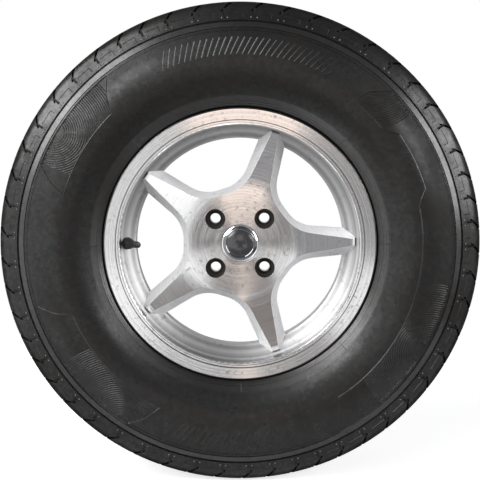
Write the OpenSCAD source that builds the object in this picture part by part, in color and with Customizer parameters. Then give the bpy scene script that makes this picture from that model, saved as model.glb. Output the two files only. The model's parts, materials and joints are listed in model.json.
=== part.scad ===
// Light truck tyre fitted to a five spoke light alloy wheel, with its snap-in valve and its centre cap.
// The wheel stands upright. It turns about Y, its outer face looks along -Y and its centre is the origin.
// Every piece is drawn lying down, with x to the right, y up and z outwards, and is then stood up.

/* [Tyre] */
// Outer diameter of the inflated tyre
tyre_d = 692; // [686:1:698]
// Width of the tyre at its widest
section_w = 208; // [204:1:212]
// Diameter at which the tyre is widest
widest_d = 524; // [510:1:536]
// Width of the tread between its shoulder edges
tread_w = 168; // [162:1:172]
// Radius of the tread across its width
crown_r = 800; // [560:10:1000]
// Thickness of the tyre under the tread, with the ribs
crown_t = 17; // [16:0.5:19]
// Thickness of the sidewall
sidewall_t = 8; // [6:0.5:10]
// Width of the bead on its seat
bead_w = 18; // [17:0.5:19]

/* [Tread] */
// Width of a groove round the tread
groove_w = 9.5; // [7:0.5:11]
// Depth of the tread pattern
tread_depth = 8.5; // [6:0.5:9]
// Distance of the inner grooves from the middle of the tread
inner_groove_z = 17; // [14:0.5:19]
// Distance of the outer grooves from the middle of the tread
outer_groove_z = 52; // [46:0.5:56]
// Width of a notch in the shoulder
notch_w = 3.4; // [2.4:0.2:7]
// Width of the fine cut that each notch runs into
sipe_w = 1.2; // [0.8:0.1:2]
// Distance that a notch turns round the tyre over the shoulder's chamfer
notch_turn = 10.8; // [8:0.2:13]

/* [Sidewall] */
// Radius at which the shoulder blocks begin
block_foot_r = 316; // [314:0.5:324]
// Radius at which the blocks' faces turn into the shoulder's chamfer
shoulder_r = 331.5; // [330:0.5:333]
// Width of the raised band under the shoulder
band_w = 8; // [6:0.5:14]
// Height of the raised band
band_h = 1.8; // [0.8:0.1:2.2]
// Width of the sunk line between the band and the blocks
band_gap = 3; // [2.5:0.5:7]
// Width of the raised ring above the rim
rim_ring_w = 9; // [6:0.5:11]
// Height of the raised rings and lines near the rim
rim_ring_h = 0.9; // [0.5:0.1:1.2]

/* [Rim] */
// Diameter of the bead seats, at the flanges
seat_d = 354.8; // [353.8:0.1:355.8]
// Width of the rim between its flanges
rim_w = 152.4; // [148:0.1:156]
// Height of a flange above its seat
flange_h = 17.3; // [16.6:0.1:18]
// Radius of a flange's curl
flange_curl_r = 9.5; // [9:0.1:10]
// Radius in the corner between seat and flange
heel_r = 6.5; // [5:0.1:6.9]
// Depth of a lip from the flange to its face
lip_depth = 11.8; // [11.2:0.1:13]
// Depth of the well below the seats
well_depth = 20.4; // [19:0.1:22]
// Distance of the well's outer corner from the middle plane
well_front_z = 40; // [38:0.5:41]
// Width of the well's floor
well_w = 18; // [14:0.5:22]
// Slope of the well's outer side, from the axis
well_slope = 55; // [53:1:57]
// Thickness of the barrel
barrel_t = 5.5; // [5:0.1:6]
// Depth of the turned bore behind the outer lip, below the bead seat
lip_wall = 5.9; // [5.4:0.1:6.9]

/* [Spokes] */
// Number of spokes
spoke_n = 5; // [5:1:5]
// Distance of the hub's outer face from the middle plane
hub_face_z = 66; // [64:0.5:68]
// Radius of the flat middle of the outer face
hub_flat_r = 83; // [81:0.5:86]
// Distance of the spokes' tips from the middle plane
tip_face_z = 57; // [56:0.5:60]
// Distance of the spokes' tips from the bore behind the lip
tip_gap = 5.5; // [5:0.5:8]
// Distance of the windows' inner edge from the centre
window_r = 81.8; // [80:0.2:84]
// Radius of the windows' corners
window_corner_r = 49; // [44:0.5:52]
// Distance of the centres of the corners from a window's middle line
window_corner_v = 5.8; // [4:0.2:8]
// Angle of a window's sides to its middle line
window_side = 40.8; // [39:0.2:42]
// Distance of the bevels' lower edge from the middle plane, at the hub
bevel_z = 53; // [51:0.5:55]
// Drop of the bevels' lower edge over each millimetre outwards
bevel_fall = 0.14; // [0.11:0.01:0.17]
// Width of the bevels at the hub for each millimetre of their height
bevel_lean = 0.6; // [0.5:0.02:0.7]
// What the same width gains over each millimetre outwards
bevel_flare = 0.003; // [0:0.001:0.004]
// Draft of the windows' walls, from bevel to back
window_draft = 1.5; // [0:0.1:2.5]
// Width of the hollow in a spoke's back
spoke_hollow_w = 25; // [20:0.5:28]
// Depth of a spoke's face above its hollow
spoke_skin = 11; // [9:0.5:13]

/* [Hub] */
// Distance of the mounting face from the middle plane
mount_face_z = 30; // [28:0.5:32]
// Diameter of the mounting pad
pad_d = 148; // [144:1:150]
// Diameter of the bore that centres the wheel on the hub
hub_bore_d = 73.1; // [66:0.1:74]
// Depth of the hub bore
hub_bore_depth = 16; // [12:0.5:17]
// Number of bolt holes
lug_n = 4; // [4:1:4]
// Diameter of the circle of bolt holes
lug_pcd = 100; // [99:0.1:102]
// Diameter of a bolt hole
lug_hole_d = 15; // [13:0.1:15.5]
// Diameter of a bolt pocket
lug_pocket_d = 29; // [27:0.5:30]
// Depth of a bolt pocket
lug_pocket_depth = 14; // [11:0.5:16]
// Diameter of the tapered seat at the pocket's floor
lug_seat_d = 22; // [19:0.5:24]
// Full angle of the tapered seat
lug_seat_a = 60; // [50:1:70]

/* [Centre cap] */
// Diameter of the cap
cap_d = 54.6; // [53.6:0.1:55]
// Diameter of the recess for the cap
cap_recess_d = 58; // [57:0.2:59]
// Depth of the recess for the cap
cap_recess_depth = 6; // [5:0.2:7]
// Diameter of the bore that holds the cap's legs
cap_bore_d = 50; // [49:0.2:51]
// Number of legs on the cap
cap_leg_n = 8; // [6:1:10]
// Thickness of a leg
cap_leg_t = 2.2; // [1.8:0.1:2.6]
// Diameter of the badge disc on the cap
badge_d = 39; // [36:0.5:41]
// Diameter of the wire of the ring behind the legs
cap_wire_d = 1.8; // [1.4:0.1:2]

/* [Valve] */
// Height of the valve hole above the well's inner face
valve_up = 12.5; // [11.5:0.1:13.5]
// Diameter of the valve hole
valve_hole_d = 11.5; // [11.3:0.1:11.7]
// Diameter of the rubber flange on the rim
valve_flange_d = 17.6; // [16:0.2:18]
// Length of the valve outside the rim
valve_out = 31; // [30:0.5:33]
// Length of the valve inside the rim's wall
valve_in = 11; // [9:0.5:12]
// Outside diameter of the tube in the rubber
tube_d = 6.4; // [6:0.1:6.6]
// Outside diameter of the cap's thread
cap_thread_d = 7.7; // [7.5:0.1:7.9]
// Length of the cap's thread
cap_thread_l = 10; // [9:0.5:11]
// Diameter of the bore that takes the core
core_bore_d = 5.1; // [5:0.1:5.3]
// Diameter of the tube's lower bore
air_bore_d = 4; // [3.8:0.1:4.2]
// Outside diameter of the dust cap
dust_cap_d = 9.8; // [9.4:0.1:10.4]
// Length of the dust cap
dust_cap_l = 11.5; // [11:0.1:13]

/* [Valve core] */
// Outside diameter of the core's barrel
core_d = 3.6; // [3.5:0.1:3.6]
// Bore of the core's barrel
core_bore_in_d = 2.9; // [2.8:0.1:3]
// Diameter of the core's pin
pin_d = 0.9; // [0.8:0.1:1]
// Wire of the core's spring
spring_wire_d = 0.4; // [0.3:0.05:0.45]
// Number of turns in the core's spring
spring_turns = 8; // [6:1:9]

/* [Fits] */
// Clearance between the bead and the rim
bead_fit = 0.25; // [0.15:0.05:0.4]
// Clearance of pressed and snapped pieces
snap_fit = 0.1; // [0.05:0.05:0.15]
// Running clearance in the valve core
core_fit = 0.05; // [0.03:0.01:0.06]

/* [Hidden] */
$fn = 96;

tyre_r = tyre_d / 2;
section_half = section_w / 2;
tread_half = tread_w / 2;
widest_r = widest_d / 2;
seat_r = seat_d / 2;
flange_z = rim_w / 2;
flange_r = seat_r + flange_h;
lip_z = flange_z + lip_depth;
seat_taper = 5;
toe_z = flange_z - bead_w;
well_r = seat_r - well_depth;
well_in_r = well_r - barrel_t;
lip_bore_r = seat_r - lip_wall;
tip_r = lip_bore_r - tip_gap;
valve_r = well_in_r + valve_up;
cut = 1;

// Radius of the bead seat at a distance from the middle plane
function seat_at(z) = seat_r - (flange_z - z) * tan(seat_taper);

// Points on an arc, each as [radius from the axis, distance from the middle plane]
function arc(cr, cz, r, a0, a1, n) = [
    for (i = [0:n]) let (a = a0 + (a1 - a0) * i / n) [cr + r * cos(a), cz + r * sin(a)]
];

// The same points on the other side of the middle plane, in the opposite order
function mirrored(points) = [
    for (i = [len(points) - 1:-1:0]) [points[i][0], -points[i][1]]
];

// Bead seat, heel corner and flange curl, seen from the tyre and moved away from the metal by gap
heel_c = [seat_at(flange_z - heel_r) + heel_r, flange_z - heel_r];
curl_c = [flange_r - flange_curl_r, flange_z + flange_curl_r];
function bead_line(z0, gap, curl_end) = concat(
    [[seat_at(z0) + gap, z0]],
    arc(heel_c[0], heel_c[1], heel_r - gap, 180, 90, 4),
    arc(curl_c[0], curl_c[1], flange_curl_r + gap, 270, 270 + curl_end, 6)
);

// Stands a lying piece upright
module stand() {
    rotate([90, 0, 0]) children();
}

// Tyre sidewall: one arc from the rim strip to the widest place and one from there to the shoulder
strip_r = flange_r + 2.8;
strip_z = flange_z + flange_curl_r + 0.5;
foot_drop = 10;
foot_z = section_half - foot_drop;
shoulder_z = tread_half + 5.5;
function arc_radius(run, drop) = (run * run + drop * drop) / (2 * drop);
low_r = arc_radius(widest_r - strip_r, section_half - strip_z);
high_r = arc_radius(block_foot_r - widest_r, section_half - foot_z);
function bulge_z(r, big) = section_half - big + sqrt(big * big - (r - widest_r) * (r - widest_r));
function side_z(r) = bulge_z(r, r < widest_r ? low_r : high_r);
function tread_at(z) = tyre_r - crown_r + sqrt(crown_r * crown_r - z * z);

// A raised or sunk step on the sidewall, and plain sidewall between two radii
function side_step(r0, r1, h) = let (e = abs(h) * 0.5) [
    [r0, side_z(r0)], [r0 + e, side_z(r0 + e) + h], [r1 - e, side_z(r1 - e) + h], [r1, side_z(r1)]
];
function side_run(r0, r1, n) = [
    for (i = [1:n - 1]) let (r = r0 + (r1 - r0) * i / n) [r, side_z(r)]
];

rim_line_w = 2.4;
line_gap = 2.6;
line_h = 0.6;
ring_r = strip_r + 0.8 + rim_line_w + line_gap;
band_r = block_foot_r - band_gap - band_w;
edge_round = 2;
band_low = 0.2;
gap_sink = 1.2;
function outer_side() = concat(
    [[strip_r, strip_z]],
    side_step(strip_r + 0.8, strip_r + 0.8 + rim_line_w, rim_ring_h),
    side_step(ring_r, ring_r + rim_ring_w, rim_ring_h),
    side_run(ring_r + rim_ring_w, band_r - 6, 16),
    side_step(band_r - 4, band_r - 2, line_h),
    [
        [band_r, side_z(band_r)], [band_r + 0.9, side_z(band_r + 0.9) + band_h],
        [band_r + band_w, side_z(band_r + band_w) + band_low],
        [band_r + band_w + 0.5, side_z(band_r + band_w) - gap_sink], [block_foot_r - 0.7, foot_z - gap_sink],
        [block_foot_r, foot_z + 0.8], [shoulder_r, shoulder_z], [tread_at(tread_half) - edge_round, tread_half],
        [tread_at(tread_half - edge_round), tread_half - edge_round]
    ]
);

// A groove round the tread: both walls lean outwards
groove_lean = 1.4;
function groove(z) = [
    [tread_at(z + groove_w / 2), z + groove_w / 2],
    [tread_at(z) - tread_depth, z + groove_w / 2 - groove_lean],
    [tread_at(z) - tread_depth, z - groove_w / 2 + groove_lean],
    [tread_at(z - groove_w / 2), z - groove_w / 2]
];
function rib(z0, z1, n) = [
    for (i = [1:n - 1]) let (z = z0 + (z1 - z0) * i / n) [tread_at(z), z]
];
function tread_side() = concat(
    rib(tread_half - edge_round, outer_groove_z + groove_w / 2, 4),
    groove(outer_groove_z),
    rib(outer_groove_z - groove_w / 2, inner_groove_z + groove_w / 2, 4),
    groove(inner_groove_z),
    [[tread_at(inner_groove_z / 2), inner_groove_z / 2]]
);

// Inside of the tyre: crown, sidewall, and the thickening towards the bead
apex_h = 42.5;
apex_r = strip_r + apex_h;
apex_rate = 0.34;
bead_top_r = strip_r + 3;
liner_z = tread_half - 14;
function liner_r(z) = tread_at(z) - crown_t;
function inner_z(r) = side_z(r) - sidewall_t - max(0, apex_r - r) * apex_rate;
liner_corner_r = block_foot_r - 13;
function inner_side() = concat(
    [for (i = [0:5]) let (z = liner_z * i / 5) [liner_r(z), z]],
    [[liner_r(liner_z) - 4, liner_z + 9]],
    [for (i = [0:10]) let (r = liner_corner_r + (bead_top_r - liner_corner_r) * i / 10) [r, inner_z(r)]],
    [[seat_at(toe_z) + bead_fit + 7, toe_z + 1.5], [seat_at(toe_z) + bead_fit + 1, toe_z - 0.3]]
);
curl_leave = 55;
function tyre_half() = concat(bead_line(toe_z, bead_fit, curl_leave), outer_side(), tread_side());

module tyre_section() {
    polygon(concat(tyre_half(), [[tyre_r, 0]], mirrored(tyre_half()), mirrored(inner_side()), inner_side()));
}

// Shoulder notches at an uneven pitch, which keeps the tread quiet: short, middle and long blocks
pitch_code = "SSSSMSMMLLLLMLLMMSMLMLMLMLLMMSSSMMLLLMMMSSSSMMMLLLLMM";
pitch_start = -0.6;
function pitch(code) = code == "S" ? 6.15 : code == "M" ? 6.88 : 7.52;
pitches = [for (code = pitch_code) pitch(code)];
function total(list, n) = n == 0 ? 0 : list[n - 1] + total(list, n - 1);
pitch_sum = total(pitches, len(pitches));
pitch_a = [for (i = [0:len(pitches) - 1]) pitch_start + 360 * total(pitches, i) / pitch_sum];
notch_floor_r = tread_at(outer_groove_z) - tread_depth;
notch_low_r = shoulder_r - 3.5;
slot_depth = 3.2;
slot_foot_r = block_foot_r + 1.5;
edge_z = tread_half;
inner_edge_z = inner_groove_z + groove_w / 2;
rib_turn = 0.55;

// Middle line of a notch, seen from outside the tread: [distance round the tyre, distance from the middle plane]
function notch_line(z) = z > edge_z
    ? [-notch_turn * (shoulder_z - z) / (shoulder_z - edge_z), z]
    : [-notch_turn - (edge_z - z) * rib_turn, z];
function notch_band(z0, z1, w) = [
    notch_line(z0) - [w / 2, 0], notch_line(z1) - [w / 2, 0], notch_line(z1) + [w / 2, 0],
    notch_line(z0) + [w / 2, 0]
];
module radial_cut(low_r, high_r) {
    rotate([90, 0, 90]) translate([0, 0, low_r]) linear_extrude(high_r - low_r) children();
}

// One notch: a slot in the block's face, the turned cut over the chamfer, and the groove across the outer rib,
// which goes on as a fine cut over the next rib
module notch() {
    w = notch_w;
    radial_cut(slot_foot_r, shoulder_r + 1) polygon([
        [0, foot_z - slot_depth], [sipe_w / 2, foot_z + 3], [-sipe_w / 2, foot_z + 3]
    ]);
    radial_cut(shoulder_r - 9, shoulder_r + 2) translate([-w / 2, shoulder_z - slot_depth])
        square([w, foot_z - shoulder_z + 12]);
    radial_cut(notch_low_r, tyre_r) polygon(notch_band(edge_z - 3, shoulder_z + 2, w * 1.3));
    radial_cut(notch_floor_r, tyre_r + 6) polygon(notch_band(outer_groove_z, edge_z + 1, w));
    radial_cut(notch_floor_r + 1, tyre_r + 6) polygon(notch_band(inner_edge_z - 1, outer_groove_z, sipe_w));
}

module tyre() {
    color([0.12, 0.12, 0.12]) stand() difference() {
        rotate_extrude() tyre_section();
        for (side = [0, 1], a = pitch_a)
            mirror([0, 0, side]) rotate([0, 0, a]) notch();
    }
}

// Barrel of the wheel, from the outer lip round the tyre's side to the inner lip and back
slope_rise = tan(well_slope);
hump_z = toe_z - 3;
hump_r = seat_at(toe_z) + 0.9;
slope_top_r = seat_at(toe_z) - 0.6;
slope_top_z = well_front_z + (slope_top_r - well_r) / slope_rise;
well_in_z = well_front_z + barrel_t * tan(well_slope / 2);
slope_in_top_z = well_in_z + (lip_bore_r - well_in_r) / slope_rise;
back_slope = 20;
back_r = seat_r - 6.4;
well_back_z = well_front_z - well_w;
back_z = well_back_z - (back_r - well_r) / tan(back_slope);
back_shift = barrel_t * tan(back_slope / 2);
lip_inner_r = lip_bore_r + 6;
lip_step = 1.8;
function lip_edge(z) = [[flange_r, z - 2.3], [flange_r - 0.5, z - 0.9], [flange_r - 1.7, z]];
function tyre_side_front() = concat(
    [
        [well_r, well_front_z], [slope_top_r, slope_top_z], [hump_r - 0.3, slope_top_z + 1.6], [hump_r, hump_z],
        [seat_at(toe_z - 0.5), toe_z - 0.5]
    ],
    bead_line(toe_z, 0, 90)
);
function tyre_side_back() = concat(
    mirrored(concat([[back_r, hump_z - 4], [hump_r, hump_z], [seat_at(toe_z - 0.5), toe_z - 0.5]],
        bead_line(toe_z, 0, 90))),
    [[back_r, back_z], [well_r, well_back_z]]
);
lip_front = concat(
    lip_edge(lip_z),
    [
        [lip_inner_r, lip_z], [lip_inner_r - 0.5, lip_z - lip_step], [lip_inner_r - 3, lip_z - lip_step],
        [lip_inner_r - 3.5, lip_z - 2 * lip_step], [lip_bore_r + 0.9, lip_z - 2 * lip_step],
        [lip_bore_r, lip_z - 2 * lip_step - 1.2]
    ]
);
barrel_inside = [
    [lip_bore_r, slope_in_top_z], [well_in_r, well_in_z], [well_in_r, well_back_z - back_shift],
    [back_r - barrel_t, back_z - back_shift], [back_r - barrel_t, -hump_z + 3],
    [seat_r - 6, -toe_z - 3], [seat_r - 6, -flange_z + 4], [seat_r + 2, -lip_z]
];

module barrel() {
    rotate_extrude() polygon(concat(
        tyre_side_front(), lip_front, barrel_inside, mirrored(lip_edge(lip_z)), tyre_side_back()
    ));
}

// Spoked disc before its windows are cut: its rim is sunk into the middle of the barrel's wall
wall_half = barrel_t / 2;
function slope_mid_z(r) = well_in_z + (r - well_in_r) / slope_rise - wall_half / cos(well_slope);
spoke_back_z = mount_face_z + 11;
spoke_root_z = mount_face_z + 6;
wall_mid_r = well_in_r + wall_half;
tip_run = 3;
module disc() {
    rotate_extrude() polygon([
        [0, mount_face_z], [pad_d / 2, mount_face_z], [pad_d / 2 + 6, spoke_back_z],
        [well_in_r - 10, spoke_root_z], [wall_mid_r, spoke_root_z], [wall_mid_r, slope_mid_z(wall_mid_r)],
        [tip_r + tip_run, slope_mid_z(tip_r + tip_run)], [tip_r, tip_face_z], [hub_flat_r, hub_face_z],
        [0, hub_face_z]
    ]);
}

// Half of a window's outline: its side from the rim inwards, then its corner, each point with the way outwards
window_over = 28.5;
window_reach = lip_bore_r + window_over;
corner_steps = 10;
side_steps = 4;
function window_half(side) = let (
    c = [window_r + window_corner_r, side * window_corner_v],
    out = [-sin(window_side), side * cos(window_side)],
    along = [cos(window_side), side * sin(window_side)],
    end = c + window_corner_r * out
) concat(
    [for (i = [side_steps:-1:1]) [end + along * (window_reach - window_r) * i / side_steps, out]],
    [
        for (i = [0:corner_steps]) let (
            a = (90 - window_side) * i / corner_steps + 90 + window_side,
            way = [cos(a), side * sin(a)]
        ) [c + window_corner_r * way, way]
    ]
);
function reversed(list) = [for (i = [len(list) - 1:-1:0]) list[i]];
window_path = concat(window_half(1), reversed(window_half(-1)));

// Lower edge and lean of the bevel: both follow the spokes' faces as they fall back towards the tips
bevel_top = 18;
function bevel_low(r) = bevel_z - max(0, r - window_r) * bevel_fall;
function bevel_grow(r) = bevel_top * (bevel_lean + max(0, r - window_r) * bevel_flare);
function window_ring(k) = [
    for (p = window_path) let (r = norm(p[0]), at = p[0] + p[1] * (k == 0 ? window_draft : k == 1 ? 0 : bevel_grow(r)))
        [at[0], at[1], k == 0 ? mount_face_z - 10 : k == 3 ? lip_z + 10 : bevel_low(r) + (k - 1) * bevel_top]
];

// A solid between rings of as many points each, the first and the last of them flat
module loft(rings) {
    n = len(rings[0]);
    m = len(rings);
    polyhedron(
        points = [for (ring = rings) for (p = ring) p],
        faces = concat(
            [[for (i = [0:n - 1]) i]],
            [for (k = [0:m - 2]) for (i = [0:n - 1]) [k * n + i, (k + 1) * n + i, (k + 1) * n + (i + 1) % n]],
            [for (k = [0:m - 2]) for (i = [0:n - 1]) [k * n + i, (k + 1) * n + (i + 1) % n, k * n + (i + 1) % n]],
            [[for (i = [n - 1:-1:0]) (m - 1) * n + i]]
        )
    );
}
module window() {
    loft([for (k = [0:3]) window_ring(k)]);
}

// Hollow in the back of a spoke
hollow_r0 = pad_d / 2 + 18;
hollow_r1 = well_in_r - 14;
hollow_taper = 0.78;
module spoke_hollow() {
    translate([0, 0, mount_face_z]) linear_extrude(tip_face_z - spoke_skin - mount_face_z) polygon(concat(
        [for (a = [90:15:270]) [hollow_r0 + 5 + 5 * cos(a), (spoke_hollow_w / 2 - 5) * sign(sin(a)) + 5 * sin(a)]],
        [
            for (a = [-90:15:90]) [
                hollow_r1 - 4 + 4 * cos(a), (spoke_hollow_w * hollow_taper / 2 - 4) * sign(sin(a)) + 4 * sin(a)
            ]
        ]
    ));
}

// Pocket, tapered seat and hole for one wheel bolt
lug_floor_z = hub_face_z - lug_pocket_depth;
lug_cone_h = (lug_seat_d - lug_hole_d) / 2 / tan(lug_seat_a / 2);
module lug_cut() {
    translate([0, 0, mount_face_z - cut]) cylinder(d = lug_hole_d, h = hub_face_z - mount_face_z);
    translate([0, 0, lug_floor_z - lug_cone_h]) cylinder(d1 = lug_hole_d, d2 = lug_seat_d, h = lug_cone_h);
    translate([0, 0, lug_floor_z]) cylinder(d = lug_pocket_d, h = lug_pocket_depth + cut);
}

// Hub bore, the bore and snap groove for the cap, and the cap's recess
cap_seat_z = hub_face_z - cap_recess_depth;
hub_bore_z = mount_face_z + hub_bore_depth;
snap_z = hub_bore_z + 3;
snap_h = 4;
snap_depth = 1.6;
module hub_cut() {
    translate([0, 0, mount_face_z - cut]) cylinder(d = hub_bore_d, h = hub_bore_depth + cut);
    translate([0, 0, hub_bore_z - cut]) cylinder(d = cap_bore_d, h = cap_seat_z - hub_bore_z + 2 * cut);
    translate([0, 0, snap_z]) cylinder(d = cap_bore_d + 2 * snap_depth, h = snap_h);
    translate([0, 0, cap_seat_z]) cylinder(d = cap_recess_d, h = cap_recess_depth + cut);
}

// The valve stands square on the well's outer slope, between two spokes
valve_z = well_in_z + (valve_r - well_in_r) / slope_rise;
module at_valve() {
    translate([-valve_r, 0, valve_z]) rotate([0, 90 - well_slope, 0]) children();
}

module wheel() {
    color([0.80, 0.80, 0.81]) stand() difference() {
        union() {
            barrel();
            difference() {
                disc();
                for (k = [0:spoke_n - 1]) rotate([0, 0, (k + 0.5) * 360 / spoke_n]) window();
                for (k = [0:spoke_n - 1]) rotate([0, 0, k * 360 / spoke_n]) spoke_hollow();
            }
        }
        hub_cut();
        for (k = [0:lug_n - 1]) rotate([0, 0, (k + 0.5) * 360 / lug_n]) translate([lug_pcd / 2, 0, 0]) lug_cut();
        at_valve() translate([0, 0, -2 * barrel_t]) cylinder(d = valve_hole_d, h = 4 * barrel_t);
    }
}

// Centre cap: a chromed dome with a rim, a seat for the badge, and legs that snap into the hub
cap_r = cap_d / 2;
cap_low_z = cap_seat_z + snap_fit;
cap_t = 2.4;
cap_edge_h = 2.2;
badge_floor_z = cap_low_z + 4.2;
badge_r = badge_d / 2;
leg_out_r = cap_bore_d / 2 - snap_fit;
leg_in_r = leg_out_r - cap_leg_t;
barb = 1.2;
module cap_leg() {
    rotate_extrude(angle = 200 / cap_leg_n) polygon([
        [leg_in_r, snap_z - 0.8], [leg_out_r - 0.8, snap_z - 0.8], [leg_out_r + barb, snap_z + 1.6],
        [leg_out_r + barb, snap_z + 2.2], [leg_out_r, snap_z + snap_h - 0.6], [leg_out_r, cap_low_z + 0.5],
        [leg_in_r, cap_low_z + 0.5]
    ]);
}
module centre_cap() {
    color([0.85, 0.86, 0.88]) stand() union() {
        rotate_extrude() polygon([
            [0, badge_floor_z - cap_t], [leg_in_r - 2.6, badge_floor_z - cap_t], [leg_in_r - 0.6, cap_low_z],
            [cap_r - 0.4, cap_low_z], [cap_r, cap_low_z + 0.4], [cap_r, cap_low_z + cap_edge_h],
            [cap_r - 0.5, cap_low_z + cap_edge_h + 0.9], [cap_r - 1.6, cap_low_z + cap_edge_h + 1.8],
            [badge_r + 2.4, badge_floor_z + 1.5], [badge_r + 1, badge_floor_z + 1.7],
            [badge_r + 0.2, badge_floor_z + 1.2], [badge_r, badge_floor_z], [0, badge_floor_z]
        ]);
        for (k = [0:cap_leg_n - 1]) rotate([0, 0, k * 360 / cap_leg_n]) cap_leg();
    }
}

// Bare badge disc, a low dome
module cap_badge() {
    color([0.10, 0.10, 0.11]) stand() rotate_extrude() polygon([
        [0, badge_floor_z + core_fit], [badge_r - snap_fit, badge_floor_z + core_fit],
        [badge_r - snap_fit, badge_floor_z + 0.9], [badge_r - 0.8, badge_floor_z + 1.5],
        [badge_r * 0.8, badge_floor_z + 2], [badge_r * 0.5, badge_floor_z + 2.5],
        [badge_r * 0.25, badge_floor_z + 2.7], [0, badge_floor_z + 2.8]
    ]);
}

// Wire ring that spreads the cap's legs
module cap_ring() {
    color([0.55, 0.56, 0.58]) stand() translate([0, 0, snap_z + 1.9])
        rotate_extrude() translate([leg_in_r - snap_fit - cap_wire_d / 2, 0]) circle(d = cap_wire_d);
}

// Rubber body of the valve, snapped into the rim: head, neck, flange and sheath
hole_r = valve_hole_d / 2;
rubber_top = valve_out - cap_thread_l + 0.5;
flange_half = valve_flange_d / 2;
sheath_r = 5;
tube_r = tube_d / 2;
module valve_rubber() {
    color([0.09, 0.09, 0.09]) stand() at_valve() rotate_extrude() polygon([
        [tube_r + core_fit, -barrel_t - valve_in + 1.5], [sheath_r, -barrel_t - valve_in + 1.5],
        [hole_r + 1.2, -barrel_t - 3], [hole_r + 1.6, -barrel_t - 1.5], [hole_r + 1.2, -barrel_t - snap_fit],
        [hole_r - snap_fit, -barrel_t - snap_fit], [hole_r - snap_fit, snap_fit], [flange_half, snap_fit],
        [flange_half, 1.6], [flange_half - 0.9, 2.4], [flange_half - 0.9, 7.5], [flange_half - 1.6, 10],
        [sheath_r + 0.6, 15], [sheath_r, 18], [sheath_r, rubber_top - 1], [sheath_r - 0.5, rubber_top - 0.3],
        [tube_r + core_fit, rubber_top - 0.3]
    ]);
}

// Brass tube of the valve, with the bore and the tapered seat for the core
air_bore_r = air_bore_d / 2;
core_bore_r = core_bore_d / 2;
thread_r = cap_thread_d / 2;
core_seat_w = valve_out - 18;
core_seat_h = 1.8;
module valve_tube() {
    color([0.78, 0.64, 0.36]) stand() at_valve() rotate_extrude() polygon([
        [air_bore_r, -barrel_t - valve_in], [tube_r, -barrel_t - valve_in], [tube_r, rubber_top],
        [thread_r, rubber_top], [thread_r, valve_out - 0.5], [thread_r - 0.5, valve_out],
        [core_bore_r + 0.3, valve_out], [core_bore_r, valve_out - 0.3], [core_bore_r, core_seat_w + core_seat_h],
        [air_bore_r, core_seat_w]
    ]);
}

// Core: the plug screws into the tube, and the barrel under it holds the spring and guides the pin
core_top = valve_out - 3;
plug_h = 5.5;
plug_low = core_top - plug_h;
core_low = core_seat_w - 4;
core_r = core_d / 2;
core_in_r = core_bore_in_d / 2;
pin_r = pin_d / 2;
core_floor_t = 1;
gasket_w = core_seat_w + 0.3;
gasket_h = 1.6;
module core_housing() {
    color([0.80, 0.66, 0.38]) stand() at_valve() difference() {
        rotate_extrude() polygon([
            [pin_r + 0.3, core_low], [core_r, core_low], [core_r, gasket_w - 0.1], [core_r - 0.15, gasket_w - 0.1],
            [core_r - 0.15, gasket_w + gasket_h + 0.1], [core_r, gasket_w + gasket_h + 0.1],
            [core_r, plug_low], [core_bore_r - core_fit, plug_low + 0.7], [core_bore_r - core_fit, core_top],
            [pin_r + core_fit + 0.6, core_top], [pin_r + core_fit, core_top - 0.6],
            [pin_r + core_fit, plug_low + 0.4], [core_in_r, plug_low - 0.6],
            [core_in_r, core_low + core_floor_t], [pin_r + 0.3, core_low + core_floor_t]
        ]);
        for (side = [-1, 1]) translate([side * (pin_r + 0.9) - 0.55 * (1 + side) , -core_bore_r, core_top - 2.4])
            translate([side > 0 ? 0.55 : -0.55, 0, 0]) cube([1.1, 2 * core_bore_r, 3]);
    }
}

module core_gasket() {
    color([0.92, 0.92, 0.90]) stand() at_valve() rotate_extrude() polygon([
        [core_r - 0.15 + core_fit, gasket_w], [air_bore_r - 0.05, gasket_w],
        [core_bore_r - core_fit - 0.1, gasket_w + gasket_h], [core_r - 0.15 + core_fit, gasket_w + gasket_h]
    ]);
}

// Pin of the core: its top shows in the tube's mouth, its collar sits on the spring
spring_r = core_in_r - core_fit - 0.1;
collar_z = plug_low - 2.4;
cup_low = core_low - 1.7;
module core_pin() {
    color([0.72, 0.72, 0.74]) stand() at_valve() rotate_extrude() polygon([
        [0, cup_low - 0.8], [pin_r + 0.2, cup_low - 0.8], [pin_r + 0.2, cup_low - core_fit],
        [pin_r, cup_low - core_fit], [pin_r, collar_z], [spring_r, collar_z], [spring_r, collar_z + 0.8],
        [pin_r, collar_z + 0.8], [pin_r, valve_out - 1.6], [pin_r + 0.2, valve_out - 1.4],
        [pin_r + 0.2, valve_out - 0.6], [pin_r, valve_out - 0.4], [0, valve_out - 0.4]
    ]);
}

// Cup on the pin's foot, with the rubber washer that closes on the core
cup_r = air_bore_r - 0.3;
module core_cup() {
    color([0.80, 0.66, 0.38]) stand() at_valve() rotate_extrude() polygon([
        [pin_r + core_fit, cup_low], [cup_r, cup_low], [cup_r, core_low - 0.3], [cup_r - 0.3, core_low - 0.3],
        [cup_r - 0.3, cup_low + 0.4], [pin_r + core_fit, cup_low + 0.4]
    ]);
}
module core_seal() {
    color([0.15, 0.15, 0.15]) stand() at_valve() rotate_extrude() polygon([
        [pin_r + core_fit, cup_low + 0.4 + core_fit], [cup_r - 0.3 - core_fit, cup_low + 0.4 + core_fit],
        [cup_r - 0.3 - core_fit, core_low - core_fit], [pin_r + core_fit, core_low - core_fit]
    ]);
}

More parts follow.
